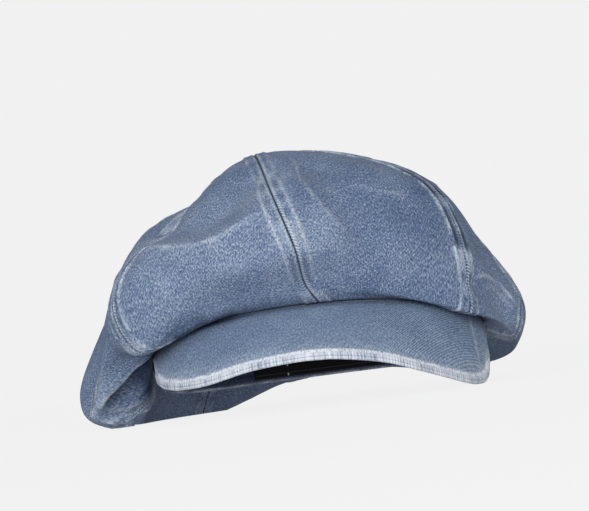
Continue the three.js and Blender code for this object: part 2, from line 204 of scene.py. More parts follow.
def smooth(th, t):
    th, t = np.broadcast_arrays(np.asarray(th, float), np.asarray(t, float))
    P = [rim(th)] + [level(k, th) for k in range(4)] + [np.broadcast_to(APEX, th.shape + (3,))]
    before = P[0] + (P[0] - P[1]) * 0.5
    e = (P[5] - P[4]) * 0.6
    e[..., 2] = e[..., 0] * SLOPE[0] + e[..., 1] * SLOPE[1] - np.hypot(e[..., 0], e[..., 1]) * 0.04
    P = np.stack([before, *P, P[5] + e], -2)
    j = np.clip(np.searchsorted(KNOTS, t, side="right") - 1, 0, 4)

    def pick(o):
        return np.take_along_axis(P, (j + o)[..., None, None].repeat(3, -1), -2)[..., 0, :]

    p0, p1, p2, p3 = pick(0), pick(1), pick(2), pick(3)
    h = K[j + 2] - K[j + 1]
    f = ((t - K[j + 1]) / h)[..., None]
    m1 = (p2 - p0) * (h / (K[j + 2] - K[j]))[..., None]
    m2 = (p3 - p1) * (h / (K[j + 3] - K[j + 1]))[..., None]
    return p1 * (2 * f**3 - 3 * f**2 + 1) + m1 * (f**3 - 2 * f**2 + f) + p2 * (-2 * f**3 + 3 * f**2) + m2 * (f**3 - f**2)


def outward(th, t):
    a, b, c = np.minimum(t + 0.004, 0.998), np.maximum(t - 0.004, 0), np.minimum(t, 0.99)
    up = smooth(th, a) - smooth(th, b)
    around = smooth(th + 0.01, c) - smooth(th - 0.01, c)
    n = np.cross(around, up)
    return n / np.linalg.norm(n, axis=-1, keepdims=True)


def noise3(p, size, seed=0):
    """Smooth lattice noise from -1 to 1 with features of the given size."""
    q = p / size
    i = np.floor(q).astype(np.int64)
    f = q - i
    f = f * f * (3 - 2 * f)
    out = 0.0
    for dx in (0, 1):
        for dy in (0, 1):
            for dz in (0, 1):
                n = ((i[..., 0] + dx) * 374761393 + (i[..., 1] + dy) * 668265263 + (i[..., 2] + dz) * 1440662683 + seed * 974711 + 12345) & 0xFFFFFFFF
                n = ((n ^ (n >> 13)) * 1274126177) & 0xFFFFFFFF
                n = ((n ^ (n >> 16)) * 2246822519) & 0xFFFFFFFF
                v = ((n >> 8) & 0xFFFF) / 32767.5 - 1
                w = (f[..., 0] if dx else 1 - f[..., 0]) * (f[..., 1] if dy else 1 - f[..., 1]) * (f[..., 2] if dz else 1 - f[..., 2])
                out = out + v * w
    return out


def line_distance(p, line):
    """Distance of the points p from a polyline, and the share of the way along it."""
    best = np.full(p.shape[:-1], 1e9)
    along = np.zeros(p.shape[:-1])
    n = len(line) - 1
    for i in range(n):
        a, b = line[i], line[i + 1]
        ab = b - a
        s = np.clip(((p - a) @ ab) / (ab @ ab), 0, 1)
        d = np.linalg.norm(p - a - s[..., None] * ab, axis=-1)
        m = d < best
        best = np.where(m, d, best)
        along = np.where(m, (i + s) / n, along)
    return best, along


def fold_line(line, fine=6):
    pts = np.array(line, float)
    x = np.arange(len(pts))
    xs = np.linspace(0, len(pts) - 1, (len(pts) - 1) * fine + 1)
    return smooth(rad(np.interp(xs, x, pts[:, 0])), np.interp(xs, x, pts[:, 1]))


FOLD_LINES = [(w, r, fold_line(l, 1)) for _, w, r, l in FOLDS]
CREASE_LINES = [(w, r, worn, fold_line(l)) for _, w, r, worn, l in CREASES]


# Painted shade in deep folds, in the pocket at the left and in the gap under the crown's lifted edge: half width,
# strength, line.
PAINTED_SHADE = [(w, k, fold_line(l)) for w, k, l in [
    (8.5, 0.42, [(-76, 0.1), (-80, 0.16), (-82, 0.21)]),
    (5.0, 0.2, [(-82, 0.21), (-84, 0.27)]),
    (10.0, 0.72, [(-76, 0.03), (-80, 0.06), (-86, 0.08)]),
    (4.0, 0.25, [(-84, 0.02), (-86, 0.08), (-88, 0.14)]),
    (4.5, 0.5, [(-46, 0.03), (-40, 0.055), (-33, 0.06), (-26, 0.04)]),
    (2.6, 0.85, [(-43, 0.0), (-38, 0.028), (-32, 0.03), (-27, 0.0)]),
    (13.0, 0.12, [(15, 0.7), (14, 0.6), (16, 0.5)]),
]]
# Painted light and shade: broad paler and darker fields on the crown: reach, strength, place.
PAINTED_LIGHT_FIELDS = [(r, k, smooth(rad(a), t)) for r, k, a, t in [
    (40.0, 0.04, -25, 0.38),
    (32.0, 0.05, -4, 0.36),
    (26.0, 0.10, -80, 0.3),
    (40.0, -0.10, 35, 0.5),
    (28.0, -0.04, 78, 0.5),
    (26.0, 0.08, 80, 0.17),
]]


def painted_light_at(p):
    return sum(k * np.exp(-((np.linalg.norm(p - c, axis=-1) / r) ** 2)) for r, k, c in PAINTED_LIGHT_FIELDS)


def bump(x, centre, width):
    return np.exp(-(((x - centre) / width) ** 2))


def step(x, a, b):
    s = np.clip((x - a) / (b - a), 0, 1)
    return s * s * (3 - 2 * s)


def settle(p, least):
    """Lays the cloth flat on the floor where it would pass below it, and turns it in to the floor in a soft round."""
    x, y, z = p[..., 0] - RING_X, p[..., 1], np.maximum(p[..., 2], least)
    r = np.hypot(x, y)
    inward = FLOOR_ROUND * np.maximum(0, 1 - z / FLOOR_REACH) ** 4 * np.clip((r - 100) / 25, 0, 1)
    k = 1 - inward / r
    return np.stack([RING_X + x * k, y * k, z], -1)


# ------------------------------------------------------------------ meshes
def make_mesh(name, grids, closed_cols=False, attributes=None, uvs=None, materials=(), face_slot=None):
    """One object from quads. grids is (points, quads): points in millimetres of the cap's own frame."""
    pts, quads = grids
    me = bpy.data.meshes.new(name)
    me.vertices.add(len(pts))
    me.vertices.foreach_set("co", ((pts + SHIFT) / 1000.0).astype(np.float32).ravel())
    me.loops.add(quads.size)
    me.loops.foreach_set("vertex_index", quads.astype(np.int32).ravel())
    me.polygons.add(len(quads))
    me.polygons.foreach_set("loop_start", np.arange(0, quads.size, 4, dtype=np.int32))
    me.polygons.foreach_set("loop_total", np.full(len(quads), 4, dtype=np.int32))
    me.polygons.foreach_set("use_smooth", np.ones(len(quads), dtype=bool))
    if face_slot is not None:
        me.polygons.foreach_set("material_index", face_slot.astype(np.int32))
    me.update()
    me.validate()
    for key, values in (attributes or {}).items():
        a = me.attributes.new(key, "FLOAT", "POINT")
        a.data.foreach_set("value", values.astype(np.float32))
    if uvs is not None:
        layer = me.uv_layers.new(name="cloth")
        vi = np.empty(len(me.loops), dtype=np.int32)
        me.loops.foreach_get("vertex_index", vi)
        layer.data.foreach_set("uv", uvs[vi].astype(np.float32).ravel())
    for m in materials:
        me.materials.append(m)
    ob = bpy.data.objects.new(name, me)
    bpy.context.scene.collection.objects.link(ob)
    return ob


def shell(outer, inner, sharp=()):
    """Closed body between two grids of points; returns points and quads, outer first."""
    rows, cols = outer.shape[:2]
    pts = np.concatenate([outer.reshape(-1, 3), inner.reshape(-1, 3)])
    o = np.arange(rows * cols).reshape(rows, cols)
    n = o + rows * cols
    q = [
        np.stack([o[:-1, :-1], o[:-1, 1:], o[1:, 1:], o[1:, :-1]], -1).reshape(-1, 4),
        np.stack([n[:-1, :-1], n[1:, :-1], n[1:, 1:], n[:-1, 1:]], -1).reshape(-1, 4),
        np.stack([o[0, 1:], o[0, :-1], n[0, :-1], n[0, 1:]], -1),
        np.stack([o[-1, :-1], o[-1, 1:], n[-1, 1:], n[-1, :-1]], -1),
        np.stack([o[:-1, 0], o[1:, 0], n[1:, 0], n[:-1, 0]], -1),
        np.stack([o[1:, -1], o[:-1, -1], n[:-1, -1], n[1:, -1]], -1),
    ]
    return pts, np.concatenate(q)


def area_of(ob):
    me = ob.data
    a = np.empty(len(me.polygons), dtype=np.float32)
    me.polygons.foreach_get("area", a)
    return float(a.sum())


# ------------------------------------------------------------------ materials
class Nodes:
    """Small helper that adds shader nodes and links their sockets."""

    def __init__(self, name):
        self.mat = bpy.data.materials.new(name)
        self.mat.use_nodes = True
        self.tree = self.mat.node_tree
        self.tree.nodes.clear()

    def add(self, kind, ins=None, **props):
        n = self.tree.nodes.new(kind)
        for k, v in props.items():
            setattr(n, k, v)
        for k, v in (ins or {}).items():
            if isinstance(v, bpy.types.NodeSocket):
                self.tree.links.new(v, n.inputs[k])
            else:
                n.inputs[k].default_value = v
        return n

    def math(self, op, a, b=0.0, c=0.0, clamp=False):
        return self.add("ShaderNodeMath", {0: a, 1: b, 2: c}, operation=op, use_clamp=clamp).outputs[0]

    def mul(self, a, b):
        return self.math("MULTIPLY", a, b)

    def plus(self, a, b):
        return self.math("ADD", a, b)

    def mapped(self, vec, scale, rot=0.0):
        return self.add("ShaderNodeMapping", {"Vector": vec, "Scale": scale, "Rotation": (0, 0, rot)}).outputs[0]

    def noise(self, vec, scale, detail=2.0, rough=0.5, distortion=0.0):
        return self.add("ShaderNodeTexNoise", {"Vector": vec, "Scale": scale, "Detail": detail, "Roughness": rough, "Distortion": distortion}).outputs["Fac"]

    def wave(self, vec, scale, distortion=0.0, detail=2.0, dscale=1.0):
        return self.add("ShaderNodeTexWave", {"Vector": vec, "Scale": scale, "Distortion": distortion, "Detail": detail, "Detail Scale": dscale}).outputs["Fac"]

    def ramp(self, fac, stops):
        n = self.add("ShaderNodeValToRGB", {"Fac": fac})
        r = n.color_ramp
        while len(r.elements) < len(stops):
            r.elements.new(0.5)
        for e, (pos, col) in zip(r.elements, stops):
            e.position = pos
            e.color = (*col, 1.0) if len(col) == 3 else col
        return n.outputs["Color"]

    def mix(self, fac, a, b, kind="MIX"):
        n = self.add("ShaderNodeMix", data_type="RGBA", blend_type=kind)
        for sock, v in ((n.inputs["Factor"], fac), (n.inputs[6], a), (n.inputs[7], b)):
            if isinstance(v, bpy.types.NodeSocket):
                self.tree.links.new(v, sock)
            else:
                sock.default_value = (*v, 1.0) if isinstance(v, tuple) and len(v) == 3 else v
        return n.outputs[2]

    def attribute(self, name):
        return self.add("ShaderNodeAttribute", attribute_name=name).outputs["Fac"]


def denim(name, dark, mid, light, worn, wear_gain=1.0, twill=0.12, fleck=0.5, twill_angle=58.0, twill_scale=0.235, uneven=1.3, ribs=False):
    n = Nodes(name)
    uv = n.add("ShaderNodeUVMap", uv_map="cloth").outputs[0]
    mm = n.mapped(uv, (100.0, 100.0, 100.0))
    pos = n.add("ShaderNodeTexCoord").outputs["Object"]
    warp = n.noise(n.mapped(mm, (1.0, 0.4, 1.0)), 1.4, 3.0, 0.62)
    spots = n.noise(n.mapped(mm, (1.0, 0.8, 1.0), 0.5), 0.95, 3.0, 0.66)
    twill_w = n.wave(n.mapped(mm, (1.0, 1.0, 1.0), math.radians(twill_angle)), twill_scale, uneven, 2.0, 1.6)
    blotch = n.noise(pos, 34.0, 4.0, 0.55)
    broad_tone_and_painted_light = n.noise(pos, 120.0, 3.0, 0.6)
    wear, dark_marks_and_shade = n.attribute("wear"), n.attribute("dark")
    if ribs:  # the diagonal shows on the right half of the peak only
        across = n.add("ShaderNodeSeparateXYZ", {0: pos}).outputs[0]
        rubbed = n.add("ShaderNodeMapRange", {"Value": across, "From Min": 0.012, "From Max": 0.045, "To Min": 0.1, "To Max": 1.0}).outputs[0]
        twill_w = n.plus(0.5, n.mul(n.plus(twill_w, -0.5), rubbed))
    v = n.plus(0.5, n.mul(n.plus(warp, -0.5), fleck * 2.5))
    v = n.plus(v, n.mul(n.plus(spots, -0.5), fleck * 2.5))
    v = n.plus(v, n.mul(n.plus(twill_w, -0.5), twill))
    # painted light and shade: the crown's broad paler and darker fields
    v = n.plus(v, n.attribute("broad_tone_and_painted_light"))
    v = n.plus(v, n.mul(n.plus(blotch, -0.5), 0.5))
    v = n.plus(v, n.mul(n.plus(broad_tone_and_painted_light, -0.5), 0.3))
    col = n.ramp(v, [(0.0, dark), (0.5, mid), (1.0, light)])
    # pale where it has rubbed: seam ridges, creases and edges
    grain = n.plus(-1.9, n.mul(n.plus(spots, warp), 2.8))
    fac = n.math("MULTIPLY", n.mul(wear, wear_gain), grain, clamp=True)
    col = n.mix(fac, col, worn)
    height = n.plus(n.mul(warp, 0.5), n.plus(n.mul(spots, 0.6), n.mul(twill_w, 0.4)))
    if ribs:
        along, edge = n.attribute("edge_v"), n.attribute("edge")
        saw = n.math("SINE", n.plus(n.mul(along, 2 * math.pi / 1.75), n.mul(n.noise(mm, 0.2, 1.0), 3.0)))
        rib = n.math("MULTIPLY", n.plus(0.5, n.mul(saw, -0.5)), edge, clamp=True)
        col = n.mix(n.mul(rib, 0.3), col, (0.2, 0.24, 0.33))
        height = n.plus(height, n.mul(rib, -1.6))
    else:
        stitch, along, away = n.attribute("stitch"), n.attribute("seam_v"), n.attribute("seam_d")
        slant = n.math("SINE", n.plus(n.mul(along, 2 * math.pi / 1.75), n.mul(away, 2.0)))
        tick = n.math("MULTIPLY", n.math("SMOOTH_MAX", n.mul(slant, 1.4), 0.0, 0.2), stitch, clamp=True)
        col = n.mix(n.mul(tick, 0.95), col, (0.60, 0.65, 0.75))
        height = n.plus(height, n.mul(tick, 1.2))
    # Towards near-black blue by the dark attribute: dark seam lines and unfaded patches, and painted shade.
    col = n.mix(dark_marks_and_shade, col, (0.008, 0.016, 0.048))
    bump_n = n.add("ShaderNodeBump", {"Strength": 0.45, "Distance": 0.00045, "Height": height}).outputs[0]
    bsdf = n.add("ShaderNodeBsdfPrincipled", {"Base Color": col, "Roughness": 0.92, "Normal": bump_n})
    bsdf.inputs["Specular IOR Level"].default_value = 0.15
    bsdf.inputs["Sheen Weight"].default_value = 0.05
    bsdf.inputs["Sheen Roughness"].default_value = 0.6
    bsdf.inputs["Sheen Tint"].default_value = (0.75, 0.82, 1.0, 1.0)
    n.add("ShaderNodeOutputMaterial", {"Surface": bsdf.outputs[0]})
    return n.mat


def black_tape():
    n = Nodes("black_tape")
    uv = n.add("ShaderNodeUVMap", uv_map="cloth").outputs[0]
    mm = n.mapped(uv, (100.0, 100.0, 100.0))
    ribs = n.wave(n.mapped(mm, (0.0, 1.0, 1.0), math.radians(90)), 0.2, 0.3, 2.0, 2.0)
    picks = n.wave(mm, 0.32, 0.6, 2.0, 2.0)
    fuzz = n.noise(mm, 1.4, 3.0, 0.7)
    line = n.attribute("wear")
    v = n.plus(n.mul(ribs, 0.35), n.plus(n.mul(picks, 0.3), n.mul(fuzz, 0.45)))
    col = n.ramp(v, [(0.1, (0.0035, 0.0035, 0.004)), (0.6, (0.008, 0.0078, 0.0085)), (1.0, (0.022, 0.022, 0.025))])
    col = n.mix(n.mul(line, n.plus(0.3, fuzz)), col, (0.05, 0.05, 0.06))
    bump_n = n.add("ShaderNodeBump", {"Strength": 0.5, "Distance": 0.0004, "Height": v}).outputs[0]
    bsdf = n.add("ShaderNodeBsdfPrincipled", {"Base Color": col, "Roughness": 0.8, "Normal": bump_n})
    bsdf.inputs["Specular IOR Level"].default_value = 0.2
    n.add("ShaderNodeOutputMaterial", {"Surface": bsdf.outputs[0]})
    return n.mat


def thread():
    n = Nodes("white_thread")
    pos = n.add("ShaderNodeTexCoord").outputs["Object"]
    twist = n.wave(n.mapped(pos, (1.0, 1.0, 1.0), 0.6), 900.0, 0.4)
    col = n.ramp(twist, [(0.0, (0.5, 0.5, 0.52)), (1.0, (0.75, 0.75, 0.76))])
    bump_n = n.add("ShaderNodeBump", {"Strength": 0.4, "Distance": 0.0001, "Height": twist}).outputs[0]
    bsdf = n.add("ShaderNodeBsdfPrincipled", {"Base Color": col, "Roughness": 0.7, "Normal": bump_n})
    n.add("ShaderNodeOutputMaterial", {"Surface": bsdf.outputs[0]})
    return n.mat


CROWN = denim("crown_denim", (0.036, 0.062, 0.132), (0.125, 0.183, 0.300), (0.41, 0.465, 0.56), (0.55, 0.61, 0.71), fleck=0.66)
PEAKM = denim("peak_denim", (0.060, 0.098, 0.175), (0.155, 0.225, 0.345), (0.37, 0.45, 0.57), (0.73, 0.77, 0.84), wear_gain=1.35, twill=0.42, fleck=0.6, twill_angle=32.0, twill_scale=0.37, uneven=1.2, ribs=True)
# The headband's very dark blues are painted shade for the inside of the cap.
BAND = denim("band_denim", (0.012, 0.020, 0.048), (0.032, 0.048, 0.098), (0.10, 0.13, 0.2), (0.5, 0.55, 0.64), twill=0.2)
TAPE = black_tape()
THREAD = thread()

# ------------------------------------------------------------------ crown panels
EDGE = np.array([0, 0.3, 0.65, 1.05, 1.55, 2.2, 3.0, 3.9, 4.8, 5.6, 6.2, 6.8, 7.4, 8.0, 8.8, 10, 12, 14.5])
MIDDLE = 34
ROWS = 156
SEAM_PATCH = {20: 1.0, 21: 2.2, 19: 1.5, 22: 1.4, 18: 1.5, 23: 1.0, 17: 1.4, 8: 1.3}  # how strongly each seam's strips have faded in patches


def seam_profile(d, v, seed):
    """Height, wear and darkness at distance d from a seam, v along it: a sunken line between two pressed-open allowances."""
    q = np.stack([v, np.full_like(v, seed * 50.0), np.zeros_like(v)], -1)
    wave1, wave2, wave3 = noise3(q, 17.0, 3), noise3(q, 6.0, 4), noise3(q, 2.6, 5)
    across = np.stack([v, d * 0.7 + seed * 50.0, np.zeros_like(v)], -1)
    patch = noise3(across, 6.5, 7)
    w = 6.9 + 0.75 * wave1 + 0.25 * wave2
    h = 0.5 * (1 - step(d, w - 0.9, w + 0.8)) - 0.12 * bump(d, w + 2.2, 1.4)
    h += (0.26 + 0.3 * wave2) * bump(d, w - 0.7, 0.95)
    h += (0.22 + 0.2 * wave3) * bump(d, 1.6, 0.7)
    h += (0.3 * patch + 0.12 * wave3) * bump(d, 3.8, 2.4)
    h -= 1.1 * np.exp(-((d / 0.42) ** 2))
    strength = np.clip(0.42 + 0.5 * wave2 + 0.35 * wave3 + 0.25 * wave1, 0, 1)
    worn = 0.75 * strength * bump(d, w - 0.4, 1.1)
    worn += 0.5 * np.clip(patch, 0, 1) * bump(d, 3.6, 2.2)
    worn += np.clip(0.15 + 0.4 * wave2 + 0.2 * wave3, 0, 1) * bump(d, 1.5, 0.7)
    deep = 0.5 * np.clip(-patch - 0.02, 0, 1) * bump(d, 3.6, 2.3) + 0.22 * np.clip(0.3 - wave2, 0, 1) * bump(d, w + 1.1, 0.8)
    deep += np.clip(0.86 + 0.35 * wave3 + 0.2 * wave2, 0, 1) * np.exp(-((d / 0.36) ** 2))
    g = SEAM_PATCH[seed]
    return h, worn * (0.6 + 0.4 * g), deep + 0.4 * (g - 1) * np.clip(-patch + 0.1, 0, 1) * bump(d, 3.8, 2.6)


def crown_panel(name, node, lo, hi, held_flat):
    a0, a1 = rad(lo), rad(hi)
    s = np.linspace(0, 1, ROWS + 1)
    t = 0.9985 * (0.8 * s + 0.2 * s * s)
    fine = np.linspace(a0, a1, 61)
    P = smooth(fine[None, :], t[:, None])
    L = np.concatenate([np.zeros((ROWS + 1, 1)), np.cumsum(np.linalg.norm(np.diff(P, axis=1), axis=-1), axis=1)], 1)
    W = L[:, -1]
    up = np.linalg.norm(np.diff(P, axis=0), axis=-1)
    V = np.concatenate([np.zeros((1, 61)), np.cumsum(up, axis=0)])
    k = np.minimum(1.0, 0.5 * W / (EDGE[-1] + 4.0))
    mid = np.linspace(0, 1, MIDDLE + 1)[1:-1]
    left = EDGE[None, :] * k[:, None]
    right = W[:, None] - left[:, ::-1]
    inner = left[:, -1:] + (right[:, :1] - left[:, -1:]) * mid[None, :]
    D = np.concatenate([left, inner, right], 1)
    th = np.stack([np.interp(D[i], L[i], fine) for i in range(ROWS + 1)])
    th[:, 0], th[:, -1] = a0, a1
    tt = np.broadcast_to(t[:, None], th.shape)
    S, N = smooth(th, tt), outward(th, tt)
    v_at = np.stack([np.interp(th[i], fine, V[i]) for i in range(ROWS + 1)])
    vl, vr = np.broadcast_to(V[:, :1], th.shape), np.broadcast_to(V[:, -1:], th.shape)
    dl, dr = D, W[:, None] - D
    seam = lambda deg: 8 if abs(deg) == 180 else int(deg / 45) + 20
    hl, wl, el = seam_profile(dl, vl, seam(lo))
    hr, wr, er = seam_profile(dr, vr, seam(hi))
    near_left = dl < dr
    d = np.where(near_left, dl, dr)
    seam_h = np.where(near_left, hl, hr)
    wear = np.where(near_left, wl, wr)
    deep = np.where(near_left, el, er)
    big = np.zeros_like(d)
    for width, rise, line in FOLD_LINES:
        dist, _ = line_distance(S, line)
        big += rise * np.exp(-((dist / width) ** 2))
    small = np.zeros_like(d)
    for width, rise, worn, line in CREASE_LINES:
        dist, along = line_distance(S, line)
        ends = np.clip(np.minimum(along, 1 - along) * 6, 0, 1) ** 0.7
        q = np.exp(-((dist / width) ** 2)) * ends
        small += rise * q
        wear = np.maximum(wear, worn * np.exp(-((dist / (0.55 * width + 0.35)) ** 2)) * ends * (0.75 + 0.5 * noise3(S, 6.0, 9)))
    free = step(tt, 0.0, 0.07)
    soft = (0.7 * noise3(S, 46.0, 1) + 0.5 * noise3(S, 21.0, 2) + 0.16 * noise3(S, 8.0, 6) - 0.35) * free
    big *= step(tt, 0.01, 0.06)
    v_low = np.minimum(vl, vr)
    lower = step(np.abs(wrap(th - rad(175))), rad(80), rad(90))  # 0 round the back of the ring, 1 elsewhere
    wear = np.maximum(wear, 0.6 * (1 - lower) * bump(v_at, 0.0, 1.6) * (0.7 + 0.6 * noise3(S, 5.0, 11)))
    apex_fade = step(v_at[-1:] - v_at, 1.0, 7.0)
    cloth_p = S + N * (big + small + soft)[..., None]
    out = S + N * (big + small + soft + seam_h * (0.35 + 0.65 * apex_fade))[..., None]
    inn = cloth_p - N * CLOTH
    inn[:, 0] = out[:, 0] - N[:, 0] * 0.6
    inn[:, -1] = out[:, -1] - N[:, -1] * 0.6
    out = settle(out, 0.0)
    inn = settle(inn, 1.4)
    # Painted shade: near black along the crown's lower edge, darker on the turned-under cloth at the back and in the
    # deep folds listed above. The seam lines and their unfaded patches in deep are the cloth's own colour.
    dark = deep + lower * (0.95 * bump(v_at, 0.0, 1.5) + 0.3 * bump(v_at, 3.5, 3.0))
    dark += 0.42 * (1 - lower) * (1 - step(tt, 0.09, 0.17)) * (1 - bump(v_at, 0.0, 1.6))
    for width, depth, line in PAINTED_SHADE:
        dist, along = line_distance(S, line)
        dark += depth * np.exp(-((dist / width) ** 2))
    side = np.where(near_left, 1.0, 0.4)
    stitch = side * bump(d, 1.35, 0.85) * (0.8 + 0.7 * noise3(S, 12.0, 13))
    zeros = np.zeros(d.size)
    cols = {
        "wear": np.concatenate([np.clip(wear, 0, 1).ravel(), zeros]),
        "dark": np.concatenate([np.clip(dark, 0, 1).ravel(), zeros]),
        "broad_tone_and_painted_light": np.concatenate([painted_light_at(S).ravel(), zeros]),
        "stitch": np.concatenate([np.clip(stitch, 0, 1).ravel(), zeros]),
        "seam_v": np.concatenate([np.where(near_left, vl, vr).ravel()] * 2),
        "seam_d": np.concatenate([d.ravel(), zeros + 50]),
    }
    centre = 0.5 * W[:, None]
    uv = np.stack([(D - centre), np.broadcast_to(V[:, 30:31], D.shape)], -1).reshape(-1, 2) / 100.0
    ob = make_mesh(name, shell(out, inn), attributes=cols, uvs=np.concatenate([uv, uv]), materials=[CROWN])
    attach(ob, "root")
    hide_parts(node)
    flat = float((0.5 * (W[1:] + W[:-1]) * np.diff(V[:, 30])).sum()) / 1e6
    width, length = float(W.max()) / 1000, float(V[-1].max()) / 1000
    held_flat.append((name, round(width, 4), round(length, 4), round(flat, 5)))
    min(flat, width * length)
    return ob


flats = []
for lo, name in [(-180, "back_left"), (-135, "side_left_back"), (-90, "side_left_front"), (-45, "front_left"), (0, "front_right"), (45, "side_right_front"), (90, "side_right_back"), (135, "back_right")]:
    crown_panel("crown_cloth_" + name, "crown_panel_" + name, lo, lo + 45, flats)


# ------------------------------------------------------------------ peak
def peak_fall(deg):
    x, y = PEAK[:, 0], PEAK[:, 1]
    n = len(x)
    i = np.clip(np.searchsorted(x, deg, side="left") - 1, 0, n - 2)
    f = np.clip((deg - x[i]) / (x[i + 1] - x[i]), 0, 1)
    at = lambda k: y[np.clip(k, 0, n - 1)]
    return cubic(at(i - 1), at(i), at(i + 1), at(i + 2), f)


def peak_point(s, y, depth, below, grow=0.0):
    """Top of the peak: s from -1 to 1 along the root, y forward of it, on a peak that is depth deep there."""
    right = s >= 0
    deg = np.where(right, PEAK_ANGLE[1], PEAK_ANGLE[0]) * s
    root = ring(rad(deg), -0.4)
    flare = np.where(right, PEAK_FLARE[1], PEAK_FLARE[0])
    wide = 1 + flare * np.minimum(1, np.maximum(y, 0) / 40)
    v = y / np.maximum(depth, 1e-6)
    z = root[..., 2] - 0.4 - peak_fall(deg) * y + PEAK_ARCH * 4 * v * (1 - v) * (depth / PEAK_DEPTH) - below
    return np.stack([RING_X + (root[..., 0] - RING_X) * wide, root[..., 1] - y, z], -1)


def outline(count):
    """s and depth at evenly spaced places along the peak's free edge."""
    phi = np.linspace(0, np.pi, 6001)
    c = np.cos(phi)
    p = np.where(c > 0, PEAK_CORNER[1], PEAK_CORNER[0])
    s = -np.sign(c) * np.abs(c) ** (2 / np.where(c > 0, PEAK_CORNER[0], PEAK_CORNER[1]))
    depth = PEAK_DEPTH * np.abs(np.sin(phi)) ** (2 / np.where(c > 0, PEAK_CORNER[0], PEAK_CORNER[1]))
    P = peak_point(s, depth, depth, 0)
    run = np.concatenate([[0], np.cumsum(np.linalg.norm(np.diff(P, axis=0), axis=-1))])
    at = np.linspace(0, run[-1], count)
    ph = np.interp(at, run, phi)
    c = np.cos(ph)
    q = 2 / np.where(c > 0, PEAK_CORNER[0], PEAK_CORNER[1])
    return -np.sign(c) * np.abs(c) ** q, PEAK_DEPTH * np.maximum(np.abs(np.sin(ph)), 1e-9) ** q, at


INSET = np.array([0, 0.45, 0.95, 1.5, 2.1, 2.8, 3.6, 4.6, 6, 7.8, 10, 12.5, 15.5, 19, 22.5, 26, 29.5, 33, 36.5, 40, 43, 45.5, 47.2, 48.0])


ROLL_OUT = 1.2


